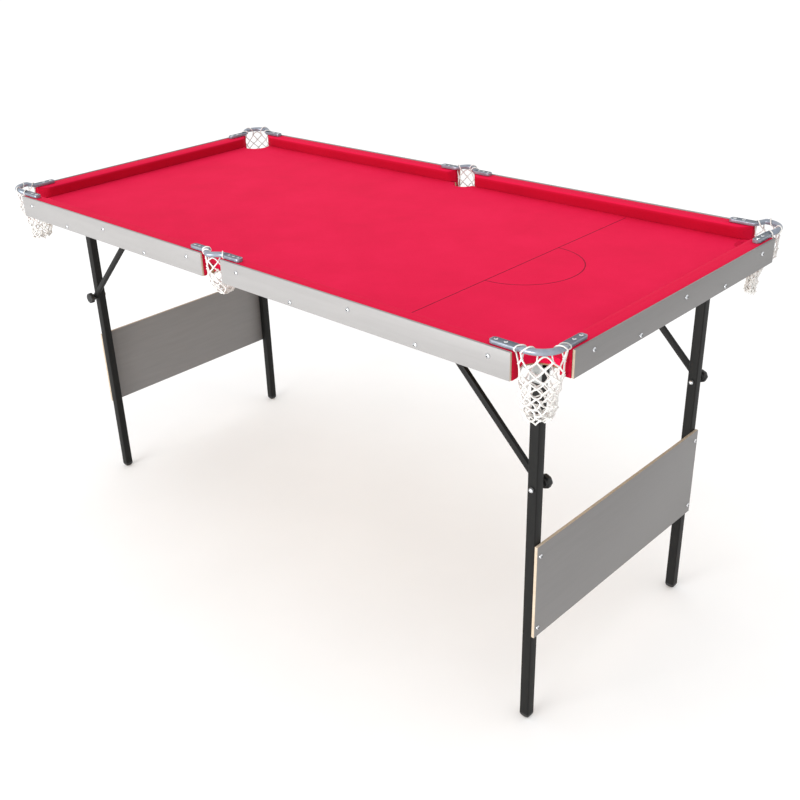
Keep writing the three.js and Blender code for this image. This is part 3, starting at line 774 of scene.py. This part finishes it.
def iron_mesh(name, path, loop_z, transform):
    """Sweeps the section along the path; the arms' tips are rounded in plan and their tops dished, the dished
    tops painted darker as painted shade and dark reflection.
    """
    built = Builder()
    sides = 44
    shaded_recess_faces = []
    starts = []
    last = len(path) - 1
    travelled = lengths_along(path)
    for i, (point, blend) in enumerate(path):
        ahead = (path[min(i + 1, last)][0] - path[max(i - 1, 0)][0]).normalized()
        half_width, half_height, z = iron_section(blend, loop_z)
        tip = min(travelled[i], travelled[-1] - travelled[i]) + 0.4 * MM
        rounding = math.sqrt(max(0.0, 1 - max(0.0, 1 - tip / ARM_TIP) ** 2))
        half_width *= 0.3 + 0.7 * rounding
        half_height *= 0.8 + 0.2 * rounding
        square = 0.36 + 0.64 * blend
        starts.append(len(built.vertices))
        # faces in the dished top of a flat arm get the darker paint: painted shade and dark reflection
        if i > 0:
            flat = blend < 0.35 and tip > 3 * MM
            shaded_recess_faces += [flat and math.sin(math.pi * (2 * k + 1) / sides) > 0.8 for k in range(sides)]
        for k in range(sides):
            angle = 2 * math.pi * k / sides
            across = signed_power(math.cos(angle), square)
            up = signed_power(math.sin(angle), square) * half_height
            if up > 0:
                up -= ARM_DISH * (1 - blend) * rounding * smooth((0.8 - abs(across)) / 0.25)
            place = point + Vector((-ahead.y, ahead.x)) * (across * half_width)
            built.vertices.append(Vector((place.x, place.y, z + up)))
    built.close(starts, sides)
    mesh = built.mesh(name, transform, sharp_angle=50)
    for polygon, in_shaded_recess in zip(list(mesh.polygons)[1:], shaded_recess_faces):
        polygon.material_index = int(in_shaded_recess)
    return mesh


def make_iron(pocket, transform, path, loop_z, screw_at, screw_radius):
    mesh = iron_mesh(f"iron_{pocket}", path, loop_z, transform)
    add_piece(mesh, [IRON, IRON_TOP_SHADE], "table", [f"pocket_iron_{pocket}"])
    rng = random.Random(len(pocket))
    seat = ARM_Z + ARM_HALF[1] - ARM_DISH - 0.2 * MM
    places = [(transform @ Vector((x, y, seat)), (0, 0, 1), rng.uniform(0, 90)) for x, y in screw_at]
    screws(f"iron_screws_{pocket}", places, "table", screw_radius)


def make_irons():
    screw_at = [(a, IRON_INSET) for a in CORNER_IRON_SCREWS]
    screw_at += [(y, x) for x, y in screw_at]
    corner = (corner_iron_path(), CORNER_LOOP_Z, screw_at, CORNER_IRON_SCREW_RADIUS)
    for index, pocket in enumerate(CORNERS):
        make_iron(pocket, corner_transform(index), *corner)
    screw_at = [(s * a, IRON_INSET) for s in (-1, 1) for a in MIDDLE_IRON_SCREWS]
    middle = (middle_iron_path(), MIDDLE_LOOP_Z, screw_at, MIDDLE_IRON_SCREW_RADIUS)
    for side in SIDES:
        make_iron(f"{side}_middle", middle_transform(side), *middle)


# ---- Nets ----
def crossing(path, centre, angle):
    """Where the ray from centre at an angle meets a path of (point, value): (point, distance along it)."""
    ray = Vector((math.cos(angle), math.sin(angle)))
    travelled = lengths_along(path)
    for i, ((a, _), (b, _)) in enumerate(zip(path, path[1:])):
        before, after = ray.cross(a - centre), ray.cross(b - centre)
        if before * after <= 0 and before != after and ray.dot(a + b - 2 * centre) > 0:
            t = before / (before - after)
            return a.lerp(b, t), travelled[i] + (travelled[i + 1] - travelled[i]) * t
    return None


def station_at(path, distance):
    """(point, value, direction) at a distance along the path."""
    travelled = lengths_along(path)
    for i, ((a, va), (b, vb)) in enumerate(zip(path, path[1:])):
        if distance <= travelled[i + 1]:
            t = (distance - travelled[i]) / (travelled[i + 1] - travelled[i])
            return a.lerp(b, t), va + (vb - va) * t, (b - a).normalized()
    return None


@dataclass
class Net:
    """Knotted diamond mesh. Its first columns hang over the iron, the others from the bed's edge."""

    iron: list          # path of (point, blend)
    hole: list          # path round the bed's hole
    centre: Vector
    first_angle: float
    columns: int
    iron_columns: int   # columns from 0 that hang at the iron
    loop_z: float
    wraps: dict         # how far a column's turn over the iron drifts each way
    heights: list       # height of each row of knots from row 1
    girth: list         # (height, radius) pairs, highest first
    lean: Vector        # how far the bottom's centre is moved in plan
    sag: float          # how far the last bights hang down, at most
    seed: int

    def __post_init__(self):
        self.rng = random.Random(self.seed)
        self.built = Builder()
        self.knots = {}

    def angle(self, column):
        return self.first_angle + 2 * math.pi * column / self.columns

    def hangs_outside(self, column):
        return 0 <= column <= self.iron_columns - 1

    def radius(self, z):
        if z >= self.girth[0][0]:
            return self.girth[0][1]
        for (za, ra), (zb, rb) in zip(self.girth, self.girth[1:]):
            if z >= zb:
                return ra + (rb - ra) * (za - z) / (za - zb)
        return self.girth[-1][1]

    def place(self, column, z):
        """The undisturbed bag surface at a column and height."""
        angle = self.angle(column)
        radius = self.radius(z)
        under_bed = smooth((self.girth[0][0] + 6 * MM - z) / (16 * MM))
        if self.hangs_outside(column):
            point, _ = crossing(self.iron, self.centre, angle)
            top = (point - self.centre).length + 1.5 * MM
        else:
            point, _ = crossing(self.hole, self.centre, angle)
            top = min(radius, (point - self.centre).length - 1.2 * MM)
        radius = top + (radius - top) * under_bed
        down = (self.girth[0][0] - z) / (self.girth[0][0] - self.girth[-1][0])
        middle = self.centre + self.lean * smooth(down)
        return Vector((middle.x + radius * math.cos(angle), middle.y + radius * math.sin(angle), z))

    def jitter(self, most):
        return Vector([self.rng.uniform(-most, most) for _ in range(3)])

    def knot(self, row, column):
        key = (row, column % self.columns)
        if key not in self.knots:
            down = row / len(self.heights)
            loose = (0.7 + 2.4 * down) * MM
            point = self.place(key[1], self.heights[row - 1])
            if row <= FIX_ROW and not self.hangs_outside(key[1]):
                loose = 0
            self.knots[key] = point + self.jitter(loose)
            self.built.blob(self.knots[key], KNOT_RADIUS * self.rng.uniform(0.85, 1.1))
        return self.knots[key]

    def cord(self, points):
        self.built.tube(points, CORD_RADIUS, sides=6)

    def strand(self, a, b, slack):
        """A cord between two knots, bowed a little."""
        bow = self.jitter(slack) - Vector((0, 0, slack * 0.5))
        self.cord([a.lerp(b, i / 4) + bow * math.sin(math.pi * i / 4) for i in range(5)])

    def wrap(self, column):
        """A turn of the top row: up outside the bar, over it and down inside, drifting to the middle."""
        _, middle = crossing(self.iron, self.centre, self.angle(column))
        drift = 1 if column < (self.iron_columns - 1) / 2 else -1
        turns = []
        for i in range(21):
            t = i / 20
            angle = math.radians(-60 + 300 * t)
            point, blend, ahead = station_at(self.iron, middle + drift * self.wraps[column] * (2 * t - 1))
            half_width, half_height, z = iron_section(blend, self.loop_z)
            outward = Vector((ahead.y, -ahead.x))
            over = point + outward * (math.cos(angle) * (half_width + CORD_RADIUS))
            turns.append(Vector((over.x, over.y, z + math.sin(angle) * (half_height + CORD_RADIUS))))
        start = self.top_knot(column - drift * 0.5, column)
        stop = self.top_knot(column + drift * 0.5, column)
        self.cord([start] + turns + [stop])

    def bight(self, column):
        """An arch of the top row that rises to the underside of the bar."""
        start, stop = self.knot(1, column - 0.5), self.knot(1, column + 0.5)
        rise = Vector((0, 0, self.loop_z - LOOP_RADIUS - CORD_RADIUS - max(start.z, stop.z)))
        self.cord([start.lerp(stop, i / 10) + rise * math.sin(math.pi * i / 10) for i in range(11)])

    def top_knot(self, beside, column):
        """The knot that a wrap ends on: beside it, or below it at the two ends of the iron's loops."""
        if 0 < beside < self.iron_columns - 1:
            return self.knot(1, beside)
        return self.knot(2, column)

    def build(self):
        rows = len(self.heights)
        for column in range(self.iron_columns):
            if column in self.wraps:
                self.wrap(column)
            else:
                self.bight(column)
        for row in range(1, rows):
            slack = (0.5 + 1.8 * row / rows) * MM
            for k in range(self.columns):
                column = k + 0.5 * (row % 2)
                if row < FIX_ROW and not self.hangs_outside(column):
                    continue
                here = self.knot(row, column)
                for below in (column - 0.5, column + 0.5):
                    below %= self.columns
                    same_side = self.hangs_outside(column) == self.hangs_outside(below)
                    if row >= FIX_ROW or same_side:
                        self.strand(here, self.knot(row + 1, below), slack)
        for column in (0, self.iron_columns - 1):
            self.strand(self.knot(2, column), self.knot(4, column), 0.6 * MM)
        self.gather([self.knot(rows, k + 0.5 * (rows % 2)) for k in range(self.columns)])
        return self.built

    def gather(self, rim):
        """Loose bights below the last knots, and the cords that draw the bottom shut."""
        centre = sum(rim, Vector()) / len(rim)
        drawn = []
        for i, knot in enumerate(rim):
            other = rim[(i + 1) % len(rim)]
            down = Vector((0, 0, self.rng.uniform(0.6, 1) * self.sag))
            drop = knot.lerp(other, 0.5).lerp(centre, 0.1) - down
            around = [knot.lerp(other, j / 8).lerp(drop, math.sin(math.pi * j / 8) * 0.95) for j in range(9)]
            self.cord(around)
            drawn.append(knot.lerp(centre, 0.4) - Vector((0, 0, 3 * MM)))
        hub = centre - Vector((0, 0, 4 * MM))
        for i, point in enumerate(drawn):
            self.strand(point, drawn[(i + 1) % len(drawn)], 1.2 * MM)
            self.strand(rim[i], point, 1 * MM)
            self.strand(point, hub, 1.2 * MM)
        self.built.blob(hub, 3.4 * MM)


def make_net(pocket, net, transform):
    mesh = net.build().mesh(f"net_{pocket}", transform)
    add_piece(mesh, [CORD], "table", [f"pocket_net_{pocket}"])


def row_heights(top, bottom, rows, tighten):
    """Heights of the rows, closer together towards the bottom by the tighten factor."""
    steps = [1 - tighten * i / rows for i in range(rows - 1)]
    total = sum(steps)
    heights = [top]
    for step in steps:
        heights.append(heights[-1] - (top - bottom) * step / total)
    return heights


def hole_rim(centre, radius):
    """The edge of the cloth round a pocket's hole, as a closed path."""
    return [(p, 0.0) for p in circle_arc(centre, radius - SKIRT_INSET, 0, 2 * math.pi, 90)]


def make_nets():
    hole = hole_rim(Vector((CORNER_POCKET_INSET, CORNER_POCKET_INSET)), CORNER_HOLE_RADIUS)
    for index, corner in enumerate(CORNERS):
        lift, *radii = (v * MM for v in CORNER_HANGS[corner])
        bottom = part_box("pocket_net_near_left")[0].z + lift
        net = Net(
            corner_iron_path(), hole, centre=Vector((CORNER_NET_CENTRE, CORNER_NET_CENTRE)),
            first_angle=math.radians(153), columns=10, iron_columns=5, loop_z=CORNER_LOOP_Z,
            wraps={0: 4.5 * MM, 1: 12 * MM, 3: 12 * MM, 4: 4.5 * MM},
            heights=row_heights(NET_TOP_Z, bottom + 11 * MM, 12, 0.55),
            girth=[(NET_NECK_Z, 35 * MM), *zip((705 * MM, 680 * MM, bottom), radii)],
            lean=Vector((0, 0)), sag=10 * MM, seed=11 + index,
        )
        make_net(corner, net, corner_transform(index))
    centre = Vector((0, MIDDLE_POCKET_INSET))
    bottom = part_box("pocket_net_near_middle")[0].z + 3 * MM
    for index, side in enumerate(SIDES):
        net = Net(
            middle_iron_path(), hole_rim(centre, MIDDLE_HOLE_RADIUS), centre,
            first_angle=math.radians(202.5), columns=8, iron_columns=4, loop_z=MIDDLE_LOOP_Z,
            wraps={0: 5.5 * MM, 1: 8 * MM, 3: 5.5 * MM},
            heights=row_heights(NET_TOP_Z, bottom + 10 * MM, 7, 0.35),
            girth=[(NET_NECK_Z, 24.5 * MM), (710 * MM, 22.5 * MM), (bottom, 19 * MM)],
            lean=Vector((6 * MM, 1 * MM)), sag=5 * MM, seed=31 + index,
        )
        make_net(f"{side}_middle", net, middle_transform(side))


# ---- Leg frames ----
def rounded_square(half, corner, steps=4):
    points = []
    for quarter in range(4):
        centre_angle = math.pi / 4 + quarter * math.pi / 2
        cx = math.copysign(half - corner, math.cos(centre_angle))
        cy = math.copysign(half - corner, math.sin(centre_angle))
        for i in range(steps + 1):
            angle = quarter * math.pi / 2 + (math.pi / 2) * i / steps
            points.append((cx + corner * math.cos(angle), cy + corner * math.sin(angle)))
    return points


def square_tube(node, body):
    low, high, centre, half = measured(node)
    bm = bmesh.new()
    outer = rounded_square(half, TUBE_CORNER)
    inner = rounded_square(half - TUBE_WALL, 0.9 * MM)
    rings = []
    for outline, z in ((inner, low.z), (outer, low.z), (outer, high.z), (inner, high.z)):
        rings.append([bm.verts.new((centre.x + x, centre.y + y, z)) for x, y in outline])
    loft(bm, [*rings, rings[0]])
    add_piece(bmesh_to_mesh(bm, f"{node}_tube"), [STEEL], body, [node])


def foot_plug(node, body):
    """End plug flush with the tube, its underside drawn in to a small round pad."""
    low, _, centre, half = measured(node)
    # (height in millimetres, share of the width, corner radius as a share of that)
    shape = [(0.0, 0.40, 0.95), (0.35, 0.55, 0.9), (1.1, 0.69, 0.8), (2.2, 0.81, 0.66), (3.6, 0.90, 0.5),
             (5.4, 0.965, 0.34), (7.2, 0.995, 0.25), (8.4, 1.0, 0.235), (10.0, 1.0, 0.235)]
    bm = bmesh.new()
    rings = []
    for z, wide, corner in shape:
        outline = rounded_square(half * wide, half * wide * corner)
        rings.append([bm.verts.new((centre.x + x, centre.y + y, low.z + z * MM)) for x, y in outline])
    loft(bm, rings)
    bm.faces.new(rings[0])
    bm.faces.new(rings[-1])
    mesh = bmesh_to_mesh(bm, node.replace("leg_foot", "foot_plug"))
    add_piece(mesh, [FOOT_PLASTIC], body, [node])


def softened_copy(node, material, body, bevel):
    """The CAD shape with its facets merged and its edges rounded, in a new piece."""
    bm = bmesh.new()
    bm.from_mesh(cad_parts[node].data)
    bmesh.ops.remove_doubles(bm, verts=bm.verts, dist=0.01 * MM)
    bmesh.ops.dissolve_limit(bm, angle_limit=math.radians(1), verts=bm.verts, edges=bm.edges)
    bevelled(bm, bevel, angle=45)
    add_piece(bmesh_to_mesh(bm, f"{node}_part", sharp_angle=40), [material], body, [node])


def make_knob(side, row):
    """Lobed hand knob with its plated stud, washer and domed end nut."""
    node = f"clamp_knob_{side}_{row}"
    low, high, centre, radius = measured(node)
    # the knob stands on the -Y side of the left frame's legs and on the +Y side of the right's
    tip, far_end, direction = (low.y, high.y, -1) if side == "left" else (high.y, low.y, 1)
    origin = Vector((centre.x, tip, centre.z))
    length = abs(far_end - tip)

    def part(kind, profile, material, slot, sides, sharp_angle, replaces=(), wobble=None):
        turned = turned_profile(profile, origin, Vector((0, direction, 0)), sides, wobble)
        mesh = turned.mesh(f"knob_{kind}_{side}_{row}", sharp_angle=sharp_angle)
        add_piece(mesh, [material], f"knob_{side}_{row}", replaces)

    def from_end(*pairs):
        """(radius, distance from the stud's end) in millimetres, as a profile."""
        return [(r * MM, -length + along * MM) for r, along in pairs]

    def lobes(r, angle):
        deep = smooth((r - 0.75 * radius) / (0.25 * radius))
        return r * (1 - 0.07 * deep * (0.5 - 0.5 * math.cos(8 * angle)))

    grip = [
        (1.0 * MM, -0.2 * MM), (6.5 * MM, -0.25 * MM), (7.2 * MM, -0.9 * MM), (9.6 * MM, -0.9 * MM),
        (radius * 0.86, -1.2 * MM), (radius * 0.97, -2.6 * MM), (radius, -4.5 * MM), (radius, -8.8 * MM),
        (radius * 0.95, -10.2 * MM), (8.4 * MM, -11.2 * MM), (8.0 * MM, -14.9 * MM), (3.2 * MM, -14.9 * MM),
    ]
    nut = from_end((3.0, 5.2), (3.0, 3.6), (4.0, 3.4), (4.1, 1.9), (3.2, 0.7), (1.7, 0.1), (0.4, 0.0))
    washer = from_end((3.2, 5.0), (5.6, 5.0), (5.6, 3.4), (4.6, 2.9), (3.2, 2.9))
    part("grip", grip, PLASTIC, "black_plastic", 64, 35, [node], lobes)
    part("stud", [(3.0 * MM, -14 * MM), *nut], CHROME, "zinc", 28, 40)
    part("washer", washer, PLASTIC, "black_plastic", 28, 40)


def make_leg_frame(side):
    body = f"{side}_leg_frame"
    # the leg board takes the darker laminate, painted shade
    board(f"leg_board_{side}", 0, body, bevel=0.8 * MM, facing=SHADED_LAMINATE)
    low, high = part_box(f"leg_board_{side}")
    face_x, sign = (high.x, 1) if side == "right" else (low.x, -1)
    places = []
    for row in SIDES:
        node = f"leg_{side}_{row}"
        square_tube(node, body)
        foot_plug(f"leg_foot_{side}_{row}", body)
        softened_copy(f"brace_{side}_{row}", STEEL, f"brace_{side}_{row}", 1.2 * MM)
        softened_copy(f"leg_bracket_{side}_{row}", ZINC, "table", 0.5 * MM)
        softened_copy(f"brace_bracket_{side}_{row}", ZINC, "table", 0.5 * MM)
        make_knob(side, row)
        leg_y = measured(node)[2].y
        for z in (low.z + 19 * MM, high.z - 21 * MM):
            places.append((Vector((face_x, leg_y, z)), (sign, 0, 0), 31 * len(places)))
    screws(f"board_screws_{side}", places, body)
    rod = f"pivot_rod_{side}"
    low, high, centre, radius = measured(rod)
    tip = radius * 0.7
    profile = [(tip, low.y), (radius, low.y + 1 * MM), (radius, high.y - 1 * MM), (tip, high.y)]
    built = turned_profile(profile, Vector((centre.x, 0, centre.z)), Vector((0, 1, 0)), sides=24)
    add_piece(built.mesh(f"{rod}_bar"), [ZINC], body, [rod])


def make_bracket_screws():
    """Two screws through each bracket's plate, up into the bed; a folded brace passes over its own."""
    for kind, inset, sunk in (("leg_bracket", 8 * MM, 0.0), ("brace_bracket", 6 * MM, 1.3 * MM)):
        for side in ("right", "left"):
            for row in SIDES:
                low, high, centre, _ = measured(f"{kind}_{side}_{row}")
                z = high.z - BRACKET_WALL + sunk
                places = [(Vector((x, centre.y, z)), (0, 0, -1), 20) for x in (low.x + inset, high.x - inset)]
                screws(f"{kind}_screws_{side}_{row}", places, "table", BRACKET_SCREW_RADIUS)


# ---- Stage ----
def make_key_light():
    """A long low softbox that lights the near aprons and grazes the bed."""
    data = bpy.data.lights.new("key", "AREA")
    data.shape = "RECTANGLE"
    data.size, data.size_y = KEY_SIZE
    data.energy = KEY_POWER
    light = new_object("key", data)
    light.location = KEY_AT
    light.rotation_euler = (KEY_TARGET - KEY_AT).to_track_quat("-Z", "Y").to_euler()


def make_world():
    """Even white light from all round."""
    world = bpy.data.worlds.new("studio")
    world.use_nodes = True
    background = world.node_tree.nodes["Background"]
    background.inputs["Color"].default_value = linear(255, 255, 255)
    background.inputs["Strength"].default_value = WORLD_STRENGTH
    bpy.context.scene.world = world


def make_stage():
    look = Look("studio_floor", roughness=0.8, specular=0.1)
    mottle = look.noise(3, detail=3)
    look.colour(look.ramp(mottle, (0.3, (250, 250, 250)), (0.7, (254, 254, 254))))
    bm = bmesh.new()
    bmesh.ops.create_grid(bm, x_segments=4, y_segments=4, size=30)
    mesh = bmesh_to_mesh(bm, "studio_floor")
    mesh.materials.append(look.material)
    new_object("studio_floor", mesh)
    make_world()
    make_key_light()
    bpy.context.scene.view_settings.view_transform = "Standard"


def make_camera():
    data = bpy.data.cameras.new("camera")
    data.sensor_width = 36
    data.lens = CAMERA_LENS
    data.shift_x, data.shift_y = CAMERA_SHIFT
    camera = new_object("camera", data)
    right = CAMERA_RIGHT.normalized()
    back = right.cross(CAMERA_UP).normalized()
    up = back.cross(right)
    matrix = Matrix((right, up, back)).transposed().to_4x4()
    camera.matrix_world = Matrix.Translation(CAMERA_AT) @ matrix
    bpy.context.scene.camera = camera


make_camera()
make_stage()
make_aprons()
make_bed()
make_rails()
make_irons()
make_nets()
for frame_side in ("right", "left"):
    make_leg_frame(frame_side)
make_bracket_screws()
